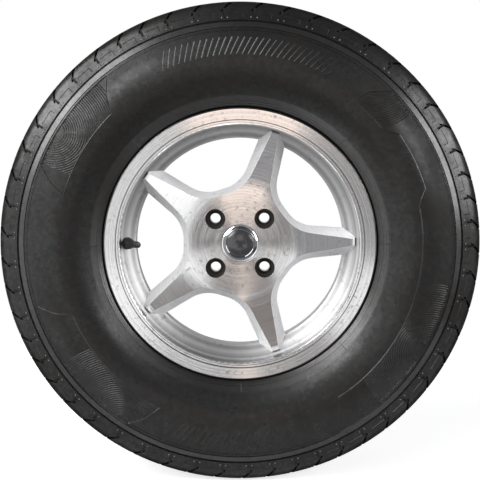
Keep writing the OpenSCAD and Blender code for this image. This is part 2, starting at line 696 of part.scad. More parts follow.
// Spring of the core: a wire of six sides swept along a helix
helix_steps = 14;
wire_sides = 6;
spring_low = core_low + core_floor_t + spring_wire_d / 2 + core_fit;
spring_high = collar_z - spring_wire_d / 2 - core_fit;
helix_r = spring_r - spring_wire_d / 2;
spring_n = spring_turns * helix_steps;
function helix_ring(i) = [
    for (s = [0:wire_sides - 1]) let (
        a = 360 * i / helix_steps,
        b = 360 * s / wire_sides,
        r = helix_r + spring_wire_d / 2 * cos(b)
    ) [r * cos(a), r * sin(a), spring_low + (spring_high - spring_low) * i / spring_n + spring_wire_d / 2 * sin(b)]
];
module core_spring() {
    color([0.70, 0.71, 0.73]) stand() at_valve() polyhedron(
        points = [for (i = [0:spring_n]) for (p = helix_ring(i)) p],
        faces = concat(
            [[for (s = [0:wire_sides - 1]) s]],
            [
                for (i = [0:spring_n - 1]) for (s = [0:wire_sides - 1]) let (t = (s + 1) % wire_sides)
                    [i * wire_sides + s, (i + 1) * wire_sides + s, (i + 1) * wire_sides + t, i * wire_sides + t]
            ],
            [[for (s = [wire_sides - 1:-1:0]) spring_n * wire_sides + s]]
        )
    );
}

// Dust cap, screwed on the tube's thread, and the sealing disc in its top
dust_r = dust_cap_d / 2;
dust_low = rubber_top + 0.5;
dust_top = dust_low + dust_cap_l;
seal_t = 0.9;
seal_low = valve_out + snap_fit;
module dust_cap() {
    color([0.08, 0.08, 0.08]) stand() at_valve() rotate_extrude() polygon([
        [thread_r + snap_fit, dust_low], [dust_r - 0.3, dust_low], [dust_r, dust_low + 0.3],
        [dust_r, dust_low + dust_cap_l * 0.6], [dust_r - 0.5, dust_low + dust_cap_l * 0.65],
        [dust_r - 0.7, dust_top - 1.2], [dust_r - 1.2, dust_top - 0.4], [dust_r - 2, dust_top], [0, dust_top],
        [0, seal_low + seal_t + core_fit], [thread_r + snap_fit, seal_low + seal_t + core_fit]
    ]);
}
module dust_cap_seal() {
    color([0.2, 0.2, 0.2]) stand() at_valve() translate([0, 0, seal_low])
        cylinder(r = thread_r, h = seal_t);
}

tyre();
wheel();
centre_cap();
cap_badge();
cap_ring();
valve_rubber();
valve_tube();
core_housing();
core_gasket();
core_pin();
core_cup();
core_seal();
core_spring();
dust_cap();
dust_cap_seal();
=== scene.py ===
"""Looks of a light truck tyre on its alloy wheel: finishes, moulded sidewall detail, light and camera.

The row frame is in metres: x to the right of someone who faces the outer face, y towards the vehicle, z up.
"""

from __future__ import annotations

import json
import logging
import math
from dataclasses import dataclass, field
from enum import Enum
from typing import Iterable, Sequence, Union

import bmesh
import bpy
from mathutils import Matrix, Vector
from mathutils.bvhtree import BVHTree

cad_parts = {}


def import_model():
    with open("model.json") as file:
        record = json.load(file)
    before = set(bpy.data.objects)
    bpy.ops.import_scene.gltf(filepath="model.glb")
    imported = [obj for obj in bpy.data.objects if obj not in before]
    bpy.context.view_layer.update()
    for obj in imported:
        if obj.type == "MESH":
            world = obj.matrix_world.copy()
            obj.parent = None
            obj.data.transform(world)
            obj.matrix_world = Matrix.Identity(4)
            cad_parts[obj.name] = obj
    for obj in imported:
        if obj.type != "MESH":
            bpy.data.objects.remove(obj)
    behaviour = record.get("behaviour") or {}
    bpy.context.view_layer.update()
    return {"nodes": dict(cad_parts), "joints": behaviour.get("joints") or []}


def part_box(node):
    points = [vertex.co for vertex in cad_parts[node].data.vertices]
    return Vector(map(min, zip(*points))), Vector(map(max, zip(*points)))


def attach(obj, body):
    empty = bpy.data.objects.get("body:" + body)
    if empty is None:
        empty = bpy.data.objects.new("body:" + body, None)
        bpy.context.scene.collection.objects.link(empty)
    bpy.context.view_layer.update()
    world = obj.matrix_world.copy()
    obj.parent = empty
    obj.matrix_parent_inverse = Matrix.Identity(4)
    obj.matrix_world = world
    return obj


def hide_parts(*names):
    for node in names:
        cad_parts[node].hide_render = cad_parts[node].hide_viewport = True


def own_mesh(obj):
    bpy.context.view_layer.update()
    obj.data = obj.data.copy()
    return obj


LOG = logging.getLogger("wheel")
MM = 0.001
HUB_FLAT_R = 83 * MM
DEGREES = 180.0 / math.pi
SENSOR_MM = 36.0
MIX_COLOUR_INPUTS = (0, 6, 7)
MIX_COLOUR_RESULT = 2
Colour = tuple[float, float, float]
Edge = tuple[float, float]
Span = tuple[float, float, float]


class Body(Enum):
    """The moving bodies that pieces ride on."""

    WHEEL = "wheel_assembly"
    PLUNGER = "core_plunger"
    CAP_SLIDE = "dust_cap_slide"
    DUST_CAP = "dust_cap"


class Side(Enum):
    """The two faces of the tyre, as the sign of y."""

    OUTER = -1
    INNER = 1


class Wire:
    """One output of a shader graph, with Python's operators."""

    def __init__(self, graph: Graph, socket: bpy.types.NodeSocket) -> None:
        """Keeps the graph and the socket."""
        self.graph = graph
        self.socket = socket

    def __add__(self, other: Value) -> Wire:
        """Sum."""
        return self.graph.math("ADD", self, other)

    __radd__ = __add__

    def __sub__(self, other: Value) -> Wire:
        """Difference."""
        return self.graph.math("SUBTRACT", self, other)

    def __rsub__(self, other: Value) -> Wire:
        """Difference from a number."""
        return self.graph.math("SUBTRACT", other, self)

    def __mul__(self, other: Value) -> Wire:
        """Product."""
        return self.graph.math("MULTIPLY", self, other)

    __rmul__ = __mul__

    def __truediv__(self, other: Value) -> Wire:
        """Quotient."""
        return self.graph.math("DIVIDE", self, other)

    def __pow__(self, other: Value) -> Wire:
        """Power."""
        return self.graph.math("POWER", self, other)

    def __neg__(self) -> Wire:
        """Value with its sign turned."""
        return self * -1.0

    def __abs__(self) -> Wire:
        """Value without its sign."""
        return self.graph.math("ABSOLUTE", self)

    def between(self, low: float, high: float, soft: float) -> Wire:
        """Soft mask that is 1 from low to high.

        Args:
            low: where the mask begins.
            high: where it ends.
            soft: how far each edge is blurred.

        Returns:
            A value from 0 to 1.
        """
        return self.step(low, soft) * (1.0 - self.step(high, soft))

    def step(self, at: float, soft: float) -> Wire:
        """Smooth step from 0 to 1 centred on a value.

        Args:
            at: where it is half way up.
            soft: how far it takes to rise.

        Returns:
            A value from 0 to 1.
        """
        settings = {"interpolation_type": "SMOOTHSTEP"}
        values = {"Value": self, "From Min": at - soft / 2, "From Max": at + soft / 2}
        return self.graph.node("ShaderNodeMapRange", settings, values)


Value = Union[Wire, float, Sequence[float]]


class Graph:
    """A node tree that nodes are added to by type, settings and inputs."""

    def __init__(self, tree: bpy.types.NodeTree) -> None:
        """Empties the tree and keeps it."""
        self.tree = tree
        tree.nodes.clear()

    def add(
        self, kind: str, settings: dict | None = None, values: dict | Sequence | None = None
    ) -> bpy.types.Node:
        """Adds one node. Every node of every tree comes from here.

        Args:
            kind: the node's type.
            settings: its properties, set first.
            values: numbers or wires for its sockets, by name or in order.

        Returns:
            The new node.
        """
        node = self.tree.nodes.new(kind)
        for name, value in (settings or {}).items():
            setattr(node, name, value)
        pairs = values.items() if isinstance(values, dict) else enumerate(values or ())
        for key, value in pairs:
            if isinstance(value, Wire):
                self.tree.links.new(value.socket, node.inputs[key])
            else:
                node.inputs[key].default_value = value
        return node

    def node(
        self,
        kind: str,
        settings: dict | None = None,
        values: dict | Sequence | None = None,
        output: int | str = 0,
    ) -> Wire:
        """Adds one node and gives one of its outputs.

        Args:
            kind: the node's type.
            settings: its properties.
            values: numbers or wires for its sockets, by name or in order.
            output: which output to return.

        Returns:
            The chosen output.
        """
        return Wire(self, self.add(kind, settings, values).outputs[output])

    def end(self, kind: str, surface: Wire) -> None:
        """Ends the tree in an output node of a kind, with a shader on its surface."""
        self.add(kind, None, {"Surface": surface})

    def math(self, operation: str, *values: Value) -> Wire:
        """Adds one Math node with its inputs in order."""
        return self.node("ShaderNodeMath", {"operation": operation}, values)

    def mix(self, factor: Value, first: Value, second: Value) -> Wire:
        """Mixes two colours.

        Args:
            factor: share of the second colour.
            first: the first colour.
            second: the second colour.

        Returns:
            The mixed colour.
        """
        colours = [value if isinstance(value, Wire) else (*value, 1.0) for value in (first, second)]
        values = dict(zip(MIX_COLOUR_INPUTS, (factor, *colours)))
        return self.node("ShaderNodeMix", {"data_type": "RGBA"}, values, MIX_COLOUR_RESULT)

    def parts(self, vector: Wire) -> tuple[Wire, Wire, Wire]:
        """Splits a vector into x, y and z."""
        x, y, z = self.add("ShaderNodeSeparateXYZ", None, [vector]).outputs
        return Wire(self, x), Wire(self, y), Wire(self, z)

    def place(self) -> Wire:
        """Object coordinates."""
        return self.node("ShaderNodeTexCoord", output="Object")

    def noise(self, vector: Wire, scale: float, detail: float = 2.0, roughness: float = 0.5) -> Wire:
        """Noise texture value.

        Args:
            vector: where it is read.
            scale: cells per metre.
            detail: octaves.
            roughness: weight of the finer octaves.

        Returns:
            A value around 0.5.
        """
        values = {"Vector": vector, "Scale": scale, "Detail": detail, "Roughness": roughness}
        return self.node("ShaderNodeTexNoise", None, values, "Fac")

    def ring_noise(self, value: Wire) -> Wire:
        """Noise along one number, around 0.5."""
        values = {"W": value, "Scale": 1.0, "Detail": 1.0}
        return self.node("ShaderNodeTexNoise", {"noise_dimensions": "1D"}, values, "Fac")

    def leaning(self, polar: Polar, slope: Wire) -> Wire:
        """Normal that leans across the grooves of a turned surface, outwards and towards the back.

        Args:
            polar: the shading point.
            slope: tangent of the lean.

        Returns:
            The normal.
        """
        direction = [polar.x / polar.radius, 1.0, polar.z / polar.radius]
        outward = self.node("ShaderNodeCombineXYZ", None, direction)
        turned = self.node(
            "ShaderNodeVectorTransform",
            {"vector_type": "VECTOR", "convert_from": "OBJECT", "convert_to": "WORLD"},
            [outward],
        )
        shift = self.node("ShaderNodeVectorMath", {"operation": "SCALE"}, {"Vector": turned, "Scale": slope})
        plain = self.node("ShaderNodeNewGeometry", output="Normal")
        summed = self.node("ShaderNodeVectorMath", {"operation": "ADD"}, [plain, shift])
        return self.node("ShaderNodeVectorMath", {"operation": "NORMALIZE"}, [summed])

    def bump(self, height: Wire, distance: float) -> Wire:
        """Bump normal from a height in 0 to 1, where 1 stands for a distance in metres."""
        values = {"Strength": 1.0, "Distance": distance, "Height": height}
        return self.node("ShaderNodeBump", None, values, "Normal")


class Polar:
    """Radius and angle of a shading point about the wheel's axis."""

    def __init__(self, graph: Graph) -> None:
        """Reads Object coordinates and works the radius and the angle out.

        Args:
            graph: the material's graph.
        """
        self.place = graph.place()
        self.x, self.y, self.z = graph.parts(self.place)
        self.radius = (self.x * self.x + self.z * self.z) ** 0.5
        self.angle = graph.math("ARCTAN2", self.z, self.x)


@dataclass(frozen=True)
class Finish:
    """A named finish; subclasses add its pattern."""

    name: str
    colour: Colour
    roughness: float
    metallic: float = 0.0
    coat: float = 0.0
    coat_roughness: float = 0.08
    specular: float = 0.5

    def pattern(self, graph: Graph, sockets: dict[str, Value]) -> None:
        """Adds to the shader's sockets; a plain finish has a faint mottle.

        Args:
            graph: the material's graph.
            sockets: the shader's inputs, changed in place.
        """
        mottle = graph.noise(graph.place(), 60.0, 4.0)
        sockets["Roughness"] = self.roughness + (mottle - 0.5) * 0.08
        sockets["Normal"] = graph.bump(graph.noise(graph.place(), 1400.0, 2.0), 0.03 * MM)

    def build(self) -> bpy.types.Material:
        """Makes the material.

        Returns:
            The new material.
        """
        material = bpy.data.materials.new(self.name)
        material.use_nodes = True
        graph = Graph(material.node_tree)
        sockets: dict[str, Value] = {
            "Base Color": (*self.colour, 1.0),
            "Roughness": self.roughness,
            "Metallic": self.metallic,
            "Coat Weight": self.coat,
            "Coat Roughness": self.coat_roughness,
            "Specular IOR Level": self.specular,
        }
        self.pattern(graph, sockets)
        shader = graph.node("ShaderNodeBsdfPrincipled", None, sockets, "BSDF")
        graph.end("ShaderNodeOutputMaterial", shader)
        return material


@dataclass(frozen=True)
class TyreRubber(Finish):
    """Moulded tyre rubber, with stains, specks, a fine grain and a knurled band under the shoulder, whose
    lighter colour is a painted sheen.

    The masks are, in order, stains, specks, the knurled band, the ring beside the rim and the tread.
    rougher and glossier say what each of them adds to the roughness and to the coat.
    """

    bead_edge: float = 213 * MM
    tread_edge: float = 336 * MM
    band_low: float = 304 * MM
    band_high: float = 316 * MM
    knurls: float = 700.0
    dust: Colour = (0.0125, 0.0113, 0.0104)
    # Painted sheen: a lighter colour for the knurled band.
    band_painted_sheen: Colour = (0.008, 0.008, 0.008)
    rougher: tuple[float, ...] = (0.2, 0.2, -0.06, -0.12, 0.15)
    glossier: tuple[float, ...] = (-0.6, 1.2, 0.6, 0.8, -0.6)

    def pattern(self, graph: Graph, sockets: dict[str, Value]) -> None:
        """Stains, grain, knurl and the knurled band's painted sheen.

        Args:
            graph: the material's graph.
            sockets: the shader's inputs, changed in place.
        """
        polar = Polar(graph)
        stain = graph.noise(polar.place, 9.0, 6.0, 0.7).step(0.5, 0.34)
        speck = graph.noise(polar.place, 160.0, 3.0, 0.7)
        band = polar.radius.between(self.band_low, self.band_high, 0.8 * MM)
        bead = 1.0 - polar.radius.step(self.bead_edge, 3.0 * MM)
        tread = polar.radius.step(self.tread_edge, 5.0 * MM)
        masks = (stain - 0.5, speck - 0.5, band, bead, tread)
        dusty = graph.mix(stain, self.colour, self.dust)
        # Painted sheen: the knurled band's colour is lightened.
        sockets["Base Color"] = graph.mix(band * 0.8, dusty, self.band_painted_sheen)
        sockets["Roughness"] = self._weighed(self.roughness, masks, self.rougher)
        sockets["Coat Weight"] = self._weighed(self.coat, masks, self.glossier)
        knurl = graph.math("SINE", polar.angle * self.knurls) * band
        grain = graph.noise(polar.place, 900.0, 2.0)
        sockets["Normal"] = graph.bump(grain * 0.6 + knurl * 0.5, 0.12 * MM)

    @staticmethod
    def _weighed(base: float, masks: Sequence[Wire], weights: Sequence[float]) -> Wire:
        """Adds masks to a number, each by its own weight."""
        return sum((mask * weight for mask, weight in zip(masks, weights)), base)


@dataclass(frozen=True)
class TurnedAlloy(Finish):
    """Bare alloy turned on a lathe: fine grooves round the axis that smear reflections outwards."""

    fan: float = 0.5
    lines: float = 0.10
    # Radii of the turned steps that get a painted shade line.
    steps: tuple[float, ...] = ()
    step_width: float = 1.1 * MM
    # Painted shade: colour of the dark line drawn at each turned step.
    step_painted_shade: Colour = (0.05, 0.048, 0.046)
    dull_shade: Colour = (0.12, 0.116, 0.112)
    flat_edge: float = 0.0
    flat_blend: float = 50 * MM
    cone_slope: float = 0.103
    depth_share: float = 0.6
    fine_grooves: float = 5200.0
    coarse_grooves: float = 620.0
    streaks: float = 330.0

    def pattern(self, graph: Graph, sockets: dict[str, Value]) -> None:
        """Grooves, as normals that lean to and from the axis, dull clouds, streaks and painted shade in the
        corners.

        Args:
            graph: the material's graph.
            sockets: the shader's inputs, changed in place.
        """
        polar = Polar(graph)
        cloud = graph.noise(polar.place, 34.0, 5.0, 0.65)
        dull = graph.noise(polar.place, 150.0, 5.0, 0.75).step(0.60, 0.16) * cloud.step(0.5, 0.2)
        track = polar.radius + polar.y * self.depth_share
        fine = graph.ring_noise(track * self.fine_grooves) - 0.5
        coarse = graph.ring_noise(track * self.coarse_grooves) - 0.5
        streak = graph.ring_noise(track * self.streaks).step(0.5, 0.4) * self.lines
        shade = self._lined(graph, polar)
        sockets["Base Color"] = graph.mix(dull * 0.35 + streak, shade, self.dull_shade)
        sockets["Roughness"] = self.roughness + (cloud - 0.5) * 0.1 + dull * 0.15
        lean = fine * self.fan + coarse * self.lines
        if self.flat_edge:
            lean = lean + self._eased(polar)
        sockets["Normal"] = graph.leaning(polar, lean)

    def _lined(self, graph: Graph, polar: Polar) -> Value:
        """Paints shade into the colour in the turned corners.

        Args:
            graph: the material's graph.
            polar: the shading point.

        Returns:
            The finish's colour with a painted shade line at each step.
        """
        shade: Value = self.colour
        half = self.step_width / 2
        for radius in self.steps:
            # Painted shade: a dark line along this step.
            line = polar.radius.between(radius - half, radius + half, 0.5 * MM)
            shade = graph.mix(line * 0.85, shade, self.step_painted_shade)
        return shade

    def _eased(self, polar: Polar) -> Wire:
        """Rounds the crease between the flat hub and the spokes' cone.

        Args:
            polar: the shading point.

        Returns:
            What to add to the lean.
        """
        crease = 0.05 * MM
        rounded = polar.radius.step(self.flat_edge, self.flat_blend)
        return (rounded - polar.radius.step(self.flat_edge, crease)) * self.cone_slope


@dataclass(frozen=True)
class CapChrome(Finish):
    """Bright chrome at the cap's edge, smoked inside it."""

    edge: float = 24.8 * MM
    smoked: Colour = (0.22, 0.22, 0.23)

    def pattern(self, graph: Graph, sockets: dict[str, Value]) -> None:
        """Smokes the chrome inside the edge."""
        edge = Polar(graph).radius.step(self.edge, 0.3 * MM)
        sockets["Base Color"] = graph.mix(edge, self.smoked, self.colour)


@dataclass(frozen=True)
class CastPaint(Finish):
    """Paint over a cast surface."""

    def pattern(self, graph: Graph, sockets: dict[str, Value]) -> None:
        """Flakes in the paint and the casting's grain.

        Args:
            graph: the material's graph.
            sockets: the shader's inputs, changed in place.
        """
        place = graph.place()
        flake = graph.noise(place, 2200.0, 2.0)
        grain = graph.noise(place, 500.0, 4.0, 0.7)
        sockets["Roughness"] = self.roughness + (flake - 0.5) * 0.2
        sockets["Normal"] = graph.bump(grain, 0.1 * MM)


def new_object(name: str, bm: bmesh.types.BMesh, materials: Iterable[bpy.types.Material]) -> bpy.types.Object:
    """Makes an object from a bmesh and frees it.

    Args:
        name: name of the object.
        bm: its geometry, in the row frame.
        materials: its material slots.

    Returns:
        The new object, linked to the scene.
    """
    mesh = bpy.data.meshes.new(name)
    bm.to_mesh(mesh)
    bm.free()
    for material in materials:
        mesh.materials.append(material)
    made = bpy.data.objects.new(name, mesh)
    bpy.context.scene.collection.objects.link(made)
    return made


def smooth_by_angle(bm: bmesh.types.BMesh, degrees: float) -> None:
    """Shades faces smooth and marks edges sharper than an angle.

    Args:
        bm: the geometry.
        degrees: the angle.
    """
    limit = math.radians(degrees)
    for face in bm.faces:
        face.smooth = True
    for edge in bm.edges:
        edge.smooth = len(edge.link_faces) == 2 and edge.calc_face_angle(math.pi) < limit


def merged_copy(source: bpy.types.Object, flat: float = 0.15) -> bmesh.types.BMesh:
    """Copies a CAD node's mesh, merges its loose triangles and joins those that lie in one plane.

    Args:
        source: the node's object.
        flat: angle in degrees under which neighbours count as one plane.

    Returns:
        The merged geometry.
    """
    bm = bmesh.new()
    bm.from_mesh(source.data)
    bmesh.ops.remove_doubles(bm, verts=bm.verts, dist=0.002 * MM)
    bmesh.ops.dissolve_limit(
        bm,
        angle_limit=math.radians(flat),
        verts=bm.verts,
        edges=bm.edges,
        use_dissolve_boundaries=False,
    )
    return bm


def add_edge_bevel(piece: bpy.types.Object, width: float, degrees: float = 25.0, segments: int = 2) -> None:
    """Rounds a piece's sharp edges with a modifier.

    Args:
        piece: the piece.
        width: width of the bevel in metres.
        degrees: edges sharper than this are rounded.
        segments: faces across the bevel.
    """
    bevel = piece.modifiers.new("edges", "BEVEL")
    bevel.width = width
    bevel.segments = segments
    bevel.limit_method = "ANGLE"
    bevel.angle_limit = math.radians(degrees)
    bevel.use_clamp_overlap = True
    normals = piece.modifiers.new("normals", "WEIGHTED_NORMAL")
    normals.keep_sharp = True


class AlloyZone(Enum):
    """Finishes on the wheel, by material slot. The pockets' dark paint also edges the lip."""

    CAST = 0
    TURNED = 1
    BEVEL = 2
    BARREL = 3
    POCKET = 4


@dataclass
class Wheel:
    """The alloy wheel: one casting with turned, bevelled and painted areas.

    Heights are measured from the middle plane towards the outer face.
    """

    nodes: dict[str, bpy.types.Object]
    lug_angles: tuple[float, ...] = (45.0, 135.0, 225.0, 315.0)
    lug_radius: float = 50 * MM
    pocket_radius: float = 14.6 * MM
    pocket_floor: float = 40 * MM
    pocket_rim: float = 65.7 * MM
    face_low: float = 56 * MM
    face_level: float = 0.95
    ring_inner: float = 171 * MM
    ring_height: float = 60 * MM
    lip_height: float = 84 * MM
    lip_level: float = 0.5
    hub_edge: float = 50 * MM
    spoke_foot: float = 120 * MM
    bevel_start: float = 81.8 * MM
    bevel_low: float = 52.5 * MM
    bevel_fall: float = 0.14
    bevel_level: float = 0.3
    bevel_aside: float = 0.2
    barrel_start: float = 150 * MM
    barrel_height: float = 18 * MM
    crease: float = 24.0
    turned_crease: float = 3.0
    edge_width: float = 0.5 * MM
    finishes: tuple[Finish, ...] = field(
        default_factory=lambda: (
            CastPaint("cast_silver", (0.50, 0.50, 0.51), 0.42, 0.9),
            TurnedAlloy(
                "turned_alloy",
                (0.86, 0.86, 0.87),
                0.06,
                1.0,
                fan=0.22,
                lines=0.035,
                steps=(177.4 * MM, 193.4 * MM),
                flat_edge=HUB_FLAT_R,
            ),
            TurnedAlloy("bevel_alloy", (0.94, 0.94, 0.95), 0.32, 0.35, fan=0.2),
            TurnedAlloy("barrel_alloy", (0.40, 0.40, 0.405), 0.46, 1.0, fan=0.5, lines=0.5),
            CastPaint("pocket_paint", (0.045, 0.040, 0.037), 0.42, 0.3),
        )
    )

    def zone(self, centre: Vector, normal: Vector) -> AlloyZone:
        """Chooses the finish of a face.

        Args:
            centre: the face's centre.
            normal: its normal.

        Returns:
            The zone it belongs to.
        """
        radius = math.hypot(centre.x, centre.z)
        height = -centre.y
        level = -normal.y
        if self._in_pocket(centre):
            return AlloyZone.POCKET
        if radius > self.ring_inner and height > self.lip_height and level < self.lip_level:
            return AlloyZone.POCKET
        if radius > self.ring_inner and height > self.ring_height:
            return AlloyZone.TURNED
        if height > self.face_low and level > self.face_level:
            return AlloyZone.TURNED
        if self._on_bevel(centre, normal):
            return AlloyZone.BEVEL
        if radius > self.barrel_start and height > self.barrel_height:
            return AlloyZone.BARREL
        return AlloyZone.CAST

    def _in_pocket(self, centre: Vector) -> bool:
        """Whether a place lies in a bolt's pocket.

        Args:
            centre: the place.

        Returns:
            True in any of the pockets.
        """
        if not self.pocket_floor < -centre.y < self.pocket_rim:
            return False
        for angle in self.lug_angles:
            a = math.radians(angle)
            lug_x, lug_z = self.lug_radius * math.cos(a), self.lug_radius * math.sin(a)
            if math.hypot(centre.x - lug_x, centre.z - lug_z) < self.pocket_radius:
                return True
        return False

    def _on_bevel(self, centre: Vector, normal: Vector) -> bool:
        """Whether a face is part of a window's machined bevel.

        Args:
            centre: the face's centre.
            normal: its normal.

        Returns:
            True for a face that slopes towards a window and lies above the bevel's foot.
        """
        radius = math.hypot(centre.x, centre.z)
        if radius < self.hub_edge or not self.bevel_level < -normal.y < self.face_level:
            return False
        aside = abs(normal.x * centre.z - normal.z * centre.x) / radius
        foot = self.bevel_low - max(0.0, radius - self.bevel_start) * self.bevel_fall
        return -centre.y > foot and (aside > self.bevel_aside or radius < self.spoke_foot)

    def build(self) -> list[bpy.types.Object]:
        """Makes the visible wheel.

        Returns:
            The pieces.
        """
        bm = merged_copy(self.nodes["wheel"])
        for face in bm.faces:
            face.material_index = self.zone(face.calc_center_median(), face.normal).value
        smooth_by_angle(bm, self.crease)
        for edge in bm.edges:
            if all(face.material_index == AlloyZone.TURNED.value for face in edge.link_faces):
                edge.smooth = edge.calc_face_angle(math.pi) < math.radians(self.turned_crease)
        casting = new_object("wheel_casting", bm, [finish.build() for finish in self.finishes])
        add_edge_bevel(casting, self.edge_width)
        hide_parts("wheel")
        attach(casting, Body.WHEEL.value)
        return [casting]


PITCH_CODE = "SSSSMSMMLLLLMLLMMSMLMLMLMLLMMSSSMMLLLMMMSSSSMMMLLLLMM"
PITCH_STEPS = {"S": 6.15, "M": 6.88, "L": 7.52}
PITCH_START = -0.6


def notch_angles() -> list[float]:
    """Angles of the shoulder notches in degrees, at the tyre's uneven pitch.

    Returns:
        One angle for each notch, with the first one repeated at the end of the turn.
    """
    steps = [PITCH_STEPS[code] for code in PITCH_CODE]
    scale = 360.0 / sum(steps)
    angles = [PITCH_START]
    for step in steps:
        angles.append(angles[-1] + step * scale)
    return angles


@dataclass(frozen=True)
class Spot:
    """A place on the tyre's side: an angle in degrees and a radius in millimetres."""

    angle: float
    radius: float

    def xz(self) -> tuple[float, float]:
        """Row coordinates across the tyre's side, in metres."""
        a = math.radians(self.angle)
        return self.radius * MM * math.cos(a), self.radius * MM * math.sin(a)


@dataclass(frozen=True)
class Panel:
    """A panel moulded into the side: its outline, and its arcs' centre, reach and angles."""

    corners: tuple[Spot, ...]
    centre: Spot
    reach: float
    arcs: tuple[float, float] = (-360.0, 360.0)

    def outline(self, step: float = 1.5) -> list[Spot]:
        """Points along the outline.

        Args:
            step: distance between points in millimetres.

        Returns:
            The closed outline, its first point not repeated.
        """
        points = []
        for start, end in zip(self.corners, (*self.corners[1:], self.corners[0])):
            run = math.radians(end.angle - start.angle) * (start.radius + end.radius) / 2
            count = max(1, round(math.hypot(run, end.radius - start.radius) / step))
            for i in range(count):
                share = i / count
                points.append(
                    Spot(
                        start.angle + (end.angle - start.angle) * share,
                        start.radius + (end.radius - start.radius) * share,
                    )
                )
        return points

    def holds(self, spot: Spot) -> bool:
        """Whether a place lies inside the outline.

        Args:
            spot: the place.

        Returns:
            True inside.
        """
        inside = False
        for start, end in zip(self.corners, (*self.corners[1:], self.corners[0])):
            if (start.radius > spot.radius) != (end.radius > spot.radius):
                share = (spot.radius - start.radius) / (end.radius - start.radius)
                if spot.angle < start.angle + (end.angle - start.angle) * share:
                    inside = not inside
        return inside


@dataclass(frozen=True)
class Line:
    """Section of a moulded line: its sizes in millimetres, and its flat top as a share of the width."""

    width: float
    height: float
    top: float = 0.4
    sink: float = 0.25


class Skin:
    """One side of the tyre, as a surface that moulded lines are laid on."""

    CLEAR_OF_TYRE = 300 * MM

    def __init__(self, tree: BVHTree, side: Side, bm: bmesh.types.BMesh) -> None:
        """Keeps the surface to lay on and the geometry to add to.

        Args:
            tree: the tyre's surface.
            side: which side of it.
            bm: the geometry that gets the lines.
        """
        self.tree = tree
        self.side = side
        self.bm = bm

    def foot(self, x: float, z: float) -> tuple[Vector, Vector]:
        """Finds the surface under a point.

        Args:
            x: row x.
            z: row z.

        Returns:
            The place on the surface and its normal.
        """
        toward = Vector((0.0, -float(self.side.value), 0.0))
        start = Vector((x, self.side.value * self.CLEAR_OF_TYRE, z))
        place, normal, _, _ = self.tree.ray_cast(start, toward)
        return place, normal

    def lay(self, path: Sequence[Spot], line: Line, closed: bool = False, slot: int = 0) -> None:
        """Lays a line along a path.

        Args:
            path: its points.
            line: its section.
            closed: whether the last point joins the first.
            slot: its material.
        """
        section = (
            (-1, -line.sink),
            (-line.top, line.height),
            (line.top, line.height),
            (1, -line.sink),
        )
        flat = [Vector(spot.xz()) for spot in path]
        count = len(flat)
        if count < 2:
            return
        rings = []
        for i, at in enumerate(flat):
            before = flat[i - 1] if i or closed else at
            after = flat[(i + 1) % count] if i + 1 < count or closed else at
            along = (after - before).normalized()
            across = Vector((-along.y, along.x)) * (line.width * MM / 2)
            ring = []
            for share, rise in section:
                spot = at + across * share
                place, normal = self.foot(spot.x, spot.y)
                ring.append(self.bm.verts.new(place + normal * (rise * MM)))
            rings.append(ring)
        pairs = list(zip(rings, rings[1:])) + ([(rings[-1], rings[0])] if closed else [])
        for first, second in pairs:
            for k in range(len(section) - 1):
                face = self.bm.faces.new((first[k], second[k], second[k + 1], first[k + 1]))
                face.material_index = slot
        if not closed:
            self.bm.faces.new(rings[0])
            self.bm.faces.new(reversed(rings[-1]))


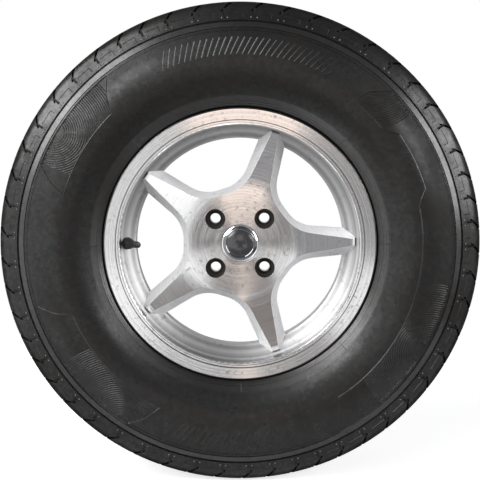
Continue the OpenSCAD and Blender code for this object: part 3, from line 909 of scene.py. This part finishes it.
@dataclass
class Tyre:
    """The tyre with its moulded detail, whose radii and lengths are in millimetres and angles in degrees."""

    nodes: dict[str, bpy.types.Object]
    rubber: TyreRubber = TyreRubber(
        "tyre_rubber", (0.002, 0.002, 0.0021), 0.44, coat=0.78, coat_roughness=0.24, specular=0.08
    )
    # Painted shade: a matte copy of the rubber, without its coat, for the walls of the cuts.
    notch_painted_shade: Finish = Finish("notch_painted_shade", (0.002, 0.002, 0.002), 0.8, specular=0.05)
    arc_line: Line = Line(2.3, 0.45, 0.05)
    edge_line: Line = Line(2.8, 0.6, 0.05)
    bar_line: Line = Line(2.6, 0.55, 0.05)
    tick_line: Line = Line(1.5, 0.7, 0.2)
    hook_line: Line = Line(1.4, 0.45, 0.05)
    nib_line: Line = Line(1.5, 1.2, 0.6)
    nib_rubber: Finish = Finish("nib_rubber", (0.30, 0.30, 0.30), 0.5)
    block_foot: float = 316 * MM
    notch_aside: float = 0.35
    crease: float = 28.0
    moulding_crease: float = 35.0
    arc_pitch: float = 3.2
    arc_start: float = 15.0
    arc_point_gap: float = 1.8
    arc_least_points: int = 12
    bar_gap: float = 1.75
    bar_half: float = 12.0
    bar_slant: float = 1.2
    bar_steps: int = 6
    tick_count: int = 8
    tick_turn: float = 0.1
    tick_inner: float = 199.0
    tick_length: int = 14
    hook_radius: float = 326.5
    hook_back: float = 1.0
    hook_stop: float = 0.7
    hook_steps: int = 10
    hook_drop: int = 7
    nib_inset: float = 0.75
    nib_low: float = 318.6
    nib_high: float = 319.9
    band_bars: tuple[tuple[float, float, float], ...] = ((60.0, 112.0, 280.0), (251.0, 289.0, 281.0))
    panels: tuple[Panel, ...] = (
        Panel(
            (
                Spot(127.7, 302), Spot(131.2, 281), Spot(133.7, 257.5),
                Spot(163.4, 257.5), Spot(161.0, 281), Spot(157.4, 302),
            ),
            Spot(148.0, 306.0),
            92.0,
            (120.0, 157.0),
        ),
        Panel(
            (
                Spot(196.0, 303), Spot(199.6, 281), Spot(202.0, 257.5),
                Spot(243.5, 258), Spot(240.9, 283), Spot(237.3, 304),
            ),
            Spot(236.0, 309.0),
            118.0,
            (208.0, 250.0),
        ),
        Panel(
            (
                Spot(-62.8, 304), Spot(-60.0, 283), Spot(-57.4, 258.5), Spot(11.8, 257.5),
                Spot(14.2, 263), Spot(16.8, 272), Spot(34.8, 272), Spot(37.2, 263),
                Spot(39.4, 258), Spot(52.0, 257.5), Spot(49.7, 281), Spot(45.5, 302),
            ),
            Spot(-30.0, 309.0),
            100.0,
        ),
    )
    extra_arcs: tuple[Spot, float] = (Spot(52.0, 306.0), 78.0)

    def build(self) -> list[bpy.types.Object]:
        """Makes the visible tyre.

        Returns:
            The pieces.
        """
        bm = merged_copy(self.nodes["tyre"])
        tree = BVHTree.FromBMesh(bm)
        smooth_by_angle(bm, self.crease)
        for face in bm.faces:
            # The walls of the cuts get the painted-shade copy of the rubber.
            face.material_index = int(self._in_notch(face.calc_center_median(), face.normal))
        material = self.rubber.build()
        body = new_object("tyre_body", bm, [material, self.notch_painted_shade.build()])
        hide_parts("tyre")
        moulding = self._moulding(tree, material)
        for piece in (body, moulding):
            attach(piece, Body.WHEEL.value)
        return [body, moulding]

    def _in_notch(self, centre: Vector, normal: Vector) -> bool:
        """Whether a face is a wall of a cut across the tread or the shoulder.

        Args:
            centre: the face's centre.
            normal: its normal.

        Returns:
            True for a wall, which gets the matte copy of the rubber as painted shade.
        """
        radius = math.hypot(centre.x, centre.z)
        aside = abs(normal.x * centre.z - normal.z * centre.x)
        return radius > self.block_foot and aside > self.notch_aside * radius

    def _moulding(self, tree: BVHTree, material: bpy.types.Material) -> bpy.types.Object:
        """Lays every moulded line on both sides.

        Args:
            tree: the tyre's surface.
            material: the rubber.

        Returns:
            The piece.
        """
        bm = bmesh.new()
        for side in Side:
            skin = Skin(tree, side, bm)
            for panel in self.panels:
                skin.lay(panel.outline(), self.edge_line, closed=True)
                self._arcs(skin, panel, panel.centre, panel.reach)
            centre, reach = self.extra_arcs
            self._arcs(skin, self.panels[-1], centre, reach)
            for bars in self.band_bars:
                self._bars(skin, *bars)
            self._ticks(skin)
            self._shoulder(skin)
        bmesh.ops.recalc_face_normals(bm, faces=bm.faces)
        smooth_by_angle(bm, self.moulding_crease)
        return new_object("tyre_moulding", bm, [material, self.nib_rubber.build()])

    def _arcs(self, skin: Skin, panel: Panel, centre: Spot, reach: float) -> None:
        """Lays arcs round a point, cut off at a panel's outline.

        Args:
            skin: the side.
            panel: the panel.
            centre: the point.
            reach: the largest arc's radius in millimetres.
        """
        cx, cz = (value / MM for value in centre.xz())
        radius = self.arc_start
        while radius < reach:
            count = max(self.arc_least_points, round(math.tau * radius / self.arc_point_gap))
            run: list[Spot] = []
            for i in range(count + 1):
                a = math.tau * i / count
                x, z = cx + radius * math.cos(a), cz + radius * math.sin(a)
                spot = Spot(self._turned(math.degrees(math.atan2(z, x)), panel), math.hypot(x, z))
                if i < count and panel.arcs[0] < spot.angle < panel.arcs[1] and panel.holds(spot):
                    run.append(spot)
                else:
                    skin.lay(run, self.arc_line)
                    run = []
            radius += self.arc_pitch

    @staticmethod
    def _turned(angle: float, panel: Panel) -> float:
        """Brings an angle into the turn that a panel is written in."""
        middle = sum(corner.angle for corner in panel.corners) / len(panel.corners)
        return angle + 360.0 * round((middle - angle) / 360.0)

    def _bars(self, skin: Skin, start: float, end: float, radius: float) -> None:
        """Lays a plain band of slanted bars between two lines.

        Args:
            skin: the side.
            start: angle of its first bar.
            end: angle of its last bar.
            radius: its middle radius.
        """
        steps = self.bar_steps
        count = round((end - start) / self.bar_gap)
        for i in range(count + 1):
            angle = start + (end - start) * i / count
            path = [
                Spot(angle + self.bar_slant * k / steps, radius - self.bar_half * k / steps)
                for k in range(-steps, steps + 1)
            ]
            skin.lay(path, self.bar_line)

    def _ticks(self, skin: Skin) -> None:
        """Lays the short radial marks on the ring beside the rim.

        Args:
            skin: the side.
        """
        for i in range(self.tick_count):
            angle = 360.0 / self.tick_count * i + self.tick_turn
            path = [Spot(angle, self.tick_inner + k) for k in range(self.tick_length + 1)]
            skin.lay(path, self.tick_line)

    def _shoulder(self, skin: Skin) -> None:
        """Lays the hooks and the vent nibs on the shoulder blocks.

        Args:
            skin: the side.
        """
        angles = notch_angles()
        for start, end in zip(angles, angles[1:]):
            root = (start + end) / 2 - self.hook_back
            reach = end - self.hook_stop - root
            along = [
                Spot(root + reach * k / self.hook_steps, self.hook_radius)
                for k in range(self.hook_steps + 1)
            ]
            skin.lay(along, self.hook_line)
            skin.lay([Spot(root, self.hook_radius - k) for k in range(self.hook_drop + 1)], self.hook_line)
            for angle in (start + self.nib_inset, end - self.nib_inset):
                nib = [Spot(angle, self.nib_low), Spot(angle, self.nib_high)]
                skin.lay(nib, self.nib_line, slot=1)


@dataclass
class SmallParts:
    """Centre cap and valve: merged copies of the CAD pieces with their own finishes."""

    nodes: dict[str, bpy.types.Object]
    joints: list[dict]
    crease: float = 32.0

    def _shorten_when_pressed(self, spring: bpy.types.Object, name: str) -> None:
        """Measures the spring's length along the pin's joint and gives the spring a mesh of its own; nothing
        shortens it.

        Args:
            spring: the spring's finished piece.
            name: the pin's joint.
        """
        joint = next(j for j in self.joints if j["name"] == name)
        axis = Vector(joint["axis"]).normalized()
        places = sorted((vertex.co.copy() for vertex in spring.data.vertices), key=axis.dot)
        length = axis.dot(places[-1] - places[0])
        1.0 - joint["range_m"][1] / length
        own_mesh(spring)

    def build(self) -> list[bpy.types.Object]:
        """Makes the copies.

        Returns:
            The pieces.
        """
        chrome = CapChrome("chrome_plate", (0.90, 0.91, 0.93), 0.06, 1.0)
        lacquer = Finish("badge_lacquer", (0.03, 0.03, 0.035), 0.1, coat=1.0, coat_roughness=0.03)
        rubber = Finish("valve_rubber_black", (0.012, 0.012, 0.012), 0.48)
        plastic = Finish("cap_plastic_black", (0.010, 0.010, 0.011), 0.35)
        brass = Finish("turned_brass", (0.78, 0.60, 0.30), 0.25, 1.0)
        steel = Finish("drawn_steel", (0.62, 0.63, 0.65), 0.28, 1.0)
        white = Finish("white_gasket", (0.82, 0.82, 0.80), 0.45)
        plan = (
            ("centre_cap", chrome, "chrome", Body.WHEEL),
            ("cap_badge", lacquer, "badge_lacquer", Body.WHEEL),
            ("cap_ring", steel, "spring_steel", Body.WHEEL),
            ("valve_rubber", rubber, "valve_rubber", Body.WHEEL),
            ("valve_tube", brass, "brass", Body.WHEEL),
            ("core_housing", brass, "brass", Body.WHEEL),
            ("core_gasket", white, "white_plastic", Body.WHEEL),
            ("core_spring", steel, "spring_steel", Body.WHEEL),
            ("core_pin", steel, "spring_steel", Body.PLUNGER),
            ("core_cup", brass, "brass", Body.PLUNGER),
            ("core_seal", rubber, "valve_rubber", Body.PLUNGER),
            ("dust_cap", plastic, "black_plastic", Body.DUST_CAP),
            ("dust_cap_seal", rubber, "valve_rubber", Body.CAP_SLIDE),
        )
        built: dict[str, bpy.types.Material] = {}
        pieces = []
        for node, finish, slot, body in plan:
            if finish.name not in built:
                built[finish.name] = finish.build()
            bm = merged_copy(self.nodes[node])
            smooth_by_angle(bm, self.crease)
            piece = new_object(f"{node}_finished", bm, [built[finish.name]])
            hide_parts(node)
            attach(piece, body.value)
            if node == "core_spring":
                self._shorten_when_pressed(piece, "core_pin_press")
            pieces.append(piece)
        return pieces


@dataclass(frozen=True)
class Room:
    """What polished alloy mirrors: a room round the wheel, as a colour for each direction.

    Directions are in degrees as seen from the wheel. Turn is 0 towards the camera and grows to the right,
    and height is 0 on the level. The flat hub mirrors a direction hub_glance below the level, which the
    dark middle, the ring and the flares lie round. An Edge is where a step stands and how soft it is, and
    a Span is its two ends and their softness.
    """

    hub_glance: float = 5.8
    white: Colour = (1.15, 1.15, 1.15)
    dark: Colour = (0.012, 0.012, 0.013)
    dark_edge: Edge = (8.5, 3.0)
    left_edge: Edge = (6.5, 3.0)
    gap_down: Edge = (12.0, 5.0)
    gap_turn: Edge = (-22.0, 8.0)
    right_near: Colour = (0.30, 0.30, 0.31)
    right_far: Colour = (0.72, 0.72, 0.72)
    right_edge: Edge = (24.0, 10.0)
    under_near: Colour = (0.26, 0.235, 0.22)
    under_far: Colour = (0.45, 0.45, 0.45)
    under_far_edge: Edge = (30.0, 8.0)
    under_edge: Edge = (15.0, 5.0)
    ring: Span = (5.3, 8.0, 1.2)
    ring_right: Colour = (0.62, 0.61, 0.60)
    ring_edge: Edge = (0.0, 8.0)
    flare_left: Span = (-168.0, -130.0, 14.0)
    flare_right: Span = (-46.0, -10.0, 14.0)
    flare_reach: Span = (1.0, 9.0, 1.6)
    flare: Colour = (1.1, 1.1, 1.1)
    ceiling: Colour = (0.16, 0.16, 0.17)
    ceiling_share: float = 0.8
    ceiling_edge: Edge = (30.0, 24.0)
    ceiling_front: Edge = (0.05, 0.3)
    glow: Colour = (1.22, 1.04, 0.93)
    glow_turn: float = 0.35
    glow_edge: Edge = (0.35, 0.4)
    glow_height: Span = (-26.0, 4.0, 3.0)
    glow_bright: Edge = (-5.0, 1.5)
    glow_widens_up: float = 0.35
    glow_widens_down: float = 0.04
    glow_foot: Edge = (0.5, 0.6)

    def colour(self, graph: Graph) -> Wire:
        """Works the colour out.

        Args:
            graph: the world's graph.

        Returns:
            The colour of each direction.
        """
        x, y, z = graph.parts(graph.node("ShaderNodeTexCoord", output="Generated"))
        height = graph.math("ARCSINE", z) * DEGREES
        turn = graph.math("ARCTAN2", x, -y) * DEGREES
        below = height + self.hub_glance
        out = (turn * turn + below * below) ** 0.5
        seen = graph.mix(out.step(*self.dark_edge), self.dark, self._walls(graph, turn, -height))
        ring = graph.mix(turn.step(*self.ring_edge), self.white, self.ring_right)
        seen = graph.mix(out.between(*self.ring), seen, ring)
        clock = graph.math("ARCTAN2", below, turn) * DEGREES
        flares = clock.between(*self.flare_left) + clock.between(*self.flare_right)
        seen = graph.mix(flares * out.between(*self.flare_reach), seen, self.flare)
        overhead = height.step(*self.ceiling_edge) * (-y).step(*self.ceiling_front)
        seen = graph.mix(overhead * self.ceiling_share, seen, self.ceiling)
        return graph.mix(self._glow(graph, turn, height), seen, self.glow)

    def _walls(self, graph: Graph, turn: Wire, down: Wire) -> Wire:
        """Colours a white wall on the left, grey ones on the right and the ground under them.

        Args:
            graph: the world's graph.
            turn: degrees to the right.
            down: degrees below the level.

        Returns:
            The walls' colour.
        """
        gap = down.step(*self.gap_down) * turn.step(*self.gap_turn)
        left = (-turn).step(*self.left_edge) * (1.0 - gap)
        right = graph.mix(turn.step(*self.right_edge), self.right_near, self.right_far)
        under = graph.mix(down.step(*self.under_far_edge), self.under_near, self.under_far)
        return graph.mix(left, graph.mix(down.step(*self.under_edge), right, under), self.white)

    def _glow(self, graph: Graph, turn: Wire, height: Wire) -> Wire:
        """Masks the warm upright strip in front of the wheel, which widens upwards.

        Args:
            graph: the world's graph.
            turn: degrees to the right.
            height: degrees above the level.

        Returns:
            How much of the strip is seen.
        """
        below = height + self.hub_glance
        spread = graph.math("MAXIMUM", below * self.glow_widens_up, below * -self.glow_widens_down)
        wide = spread + below.step(*self.glow_foot) * 0.5
        strip = 1.0 - (abs(turn - self.glow_turn) - wide).step(*self.glow_edge)
        return strip * height.between(*self.glow_height) * (0.5 + height.step(*self.glow_bright) * 0.5)


@dataclass(frozen=True)
class SoftBox:
    """A square lamp: where it hangs, the length of its side and how bright it is.

    clock is its direction round the wheel's axis in degrees from the right, lean its angle off the axis,
    size in metres, and a radiance of 1 is as bright as the white background.
    """

    name: str
    clock: float
    lean: float
    size: float
    radiance: float


@dataclass
class Studio:
    """Floor, world, lamps and camera."""

    floor_z: float
    room: Room = Room()
    camera_place: tuple[float, float, float] = (0.0, -1.7845, 0.1793)
    pitch: float = 5.79
    roll: float = -0.37
    focal_px: float = 1200.0
    frame_px: float = 480.0
    ambient: float = 0.10
    floor_size: float = 0.8
    floor_back: float = 0.35
    floor_glow: float = 0.75
    lamp_reach: float = 2.6
    soft_boxes: tuple[SoftBox, ...] = (
        SoftBox("left_far", clock=140.0, lean=58.0, size=1.7, radiance=7.0),
        SoftBox("left_near", clock=140.0, lean=26.0, size=0.6, radiance=6.5),
        SoftBox("right_far", clock=18.0, lean=60.0, size=1.3, radiance=6.0),
        SoftBox("right_near", clock=20.0, lean=27.0, size=0.45, radiance=4.5),
    )

    def build(self) -> None:
        """Makes everything that isn't the object."""
        self._world()
        self._floor()
        for box in self.soft_boxes:
            self._hang(box)
        self._camera()

    def _camera(self) -> None:
        """Places the camera as the photograph's was."""
        data = bpy.data.cameras.new("camera")
        data.sensor_width = SENSOR_MM
        data.lens = SENSOR_MM * self.focal_px / self.frame_px
        data.clip_end = 100.0
        camera = bpy.data.objects.new("camera", data)
        camera.location = self.camera_place
        tilt = Matrix.Rotation(math.radians(90 - self.pitch), 3, "X")
        camera.rotation_euler = (tilt @ Matrix.Rotation(math.radians(self.roll), 3, "Z")).to_euler()
        bpy.context.scene.collection.objects.link(camera)
        bpy.context.scene.camera = camera

    def _floor(self) -> None:
        """A pale floor that shows only the object's shadow."""
        bm = bmesh.new()
        bmesh.ops.create_grid(bm, x_segments=1, y_segments=1, size=self.floor_size)
        bmesh.ops.translate(bm, verts=bm.verts, vec=(0.0, self.floor_back, self.floor_z))
        material = bpy.data.materials.new("pale_floor")
        material.use_nodes = True
        graph = Graph(material.node_tree)
        lit = graph.node("ShaderNodeBsdfDiffuse", None, {"Color": (0.82, 0.82, 0.82, 1.0)})
        emitted = {"Color": (1.0, 1.0, 1.0, 1.0), "Strength": self.floor_glow}
        glow = graph.node("ShaderNodeEmission", None, emitted)
        both = graph.node("ShaderNodeAddShader", None, [lit, glow])
        camera_ray = graph.node("ShaderNodeLightPath", output="Is Camera Ray")
        shown = graph.node("ShaderNodeMixShader", None, [camera_ray, lit, both])
        graph.end("ShaderNodeOutputMaterial", shown)
        floor = new_object("floor", bm, [material])

    def _world(self) -> None:
        """White behind the object, and a room that the metal mirrors."""
        world = bpy.data.worlds.new("studio")
        bpy.context.scene.world = world
        world.use_nodes = True
        graph = Graph(world.node_tree)
        soft = self._sky(graph, (0.95, 0.97, 1.0, 1.0), self.ambient)
        mirrored = self._sky(graph, self.room.colour(graph), 1.0)
        white = self._sky(graph, (1.0, 1.0, 1.0, 1.0), 1.0)
        camera_ray = graph.node("ShaderNodeLightPath", output="Is Camera Ray")
        glossy_ray = graph.node("ShaderNodeLightPath", output="Is Glossy Ray")
        seen = graph.node("ShaderNodeMixShader", None, [glossy_ray, soft, mirrored])
        shown = graph.node("ShaderNodeMixShader", None, [camera_ray, seen, white])
        graph.end("ShaderNodeOutputWorld", shown)

    @staticmethod
    def _sky(graph: Graph, colour: Value, strength: float) -> Wire:
        """Background shader of a colour and a strength."""
        return graph.node("ShaderNodeBackground", None, {"Color": colour, "Strength": strength})

    def _hang(self, box: SoftBox) -> None:
        """Adds a soft box as an area lamp that looks at the wheel's centre.

        Args:
            box: the soft box.
        """
        data = bpy.data.lights.new(box.name, "AREA")
        data.size = box.size
        data.energy = box.radiance * math.pi * box.size * box.size
        lean = math.radians(box.lean)
        clock = math.radians(box.clock)
        out = math.sin(lean) * self.lamp_reach
        place = Vector((out * math.cos(clock), -self.lamp_reach * math.cos(lean), out * math.sin(clock)))
        lamp = bpy.data.objects.new(box.name, data)
        lamp.location = place
        lamp.rotation_euler = (-place).to_track_quat("-Z", "Y").to_euler()
        bpy.context.scene.collection.objects.link(lamp)


def main() -> None:
    """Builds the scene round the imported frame."""
    logging.basicConfig(level=logging.INFO, format="%(name)s %(message)s")
    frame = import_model()
    bpy.context.scene.view_settings.view_transform = "Standard"
    nodes = frame["nodes"]
    for builder in (Tyre(nodes), Wheel(nodes), SmallParts(nodes, frame["joints"])):
        for piece in builder.build():
            LOG.info("%s: %d faces", piece.name, len(piece.data.polygons))
    Studio(floor_z=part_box("tyre")[0].z).build()


if __name__ == "__main__":
    main()
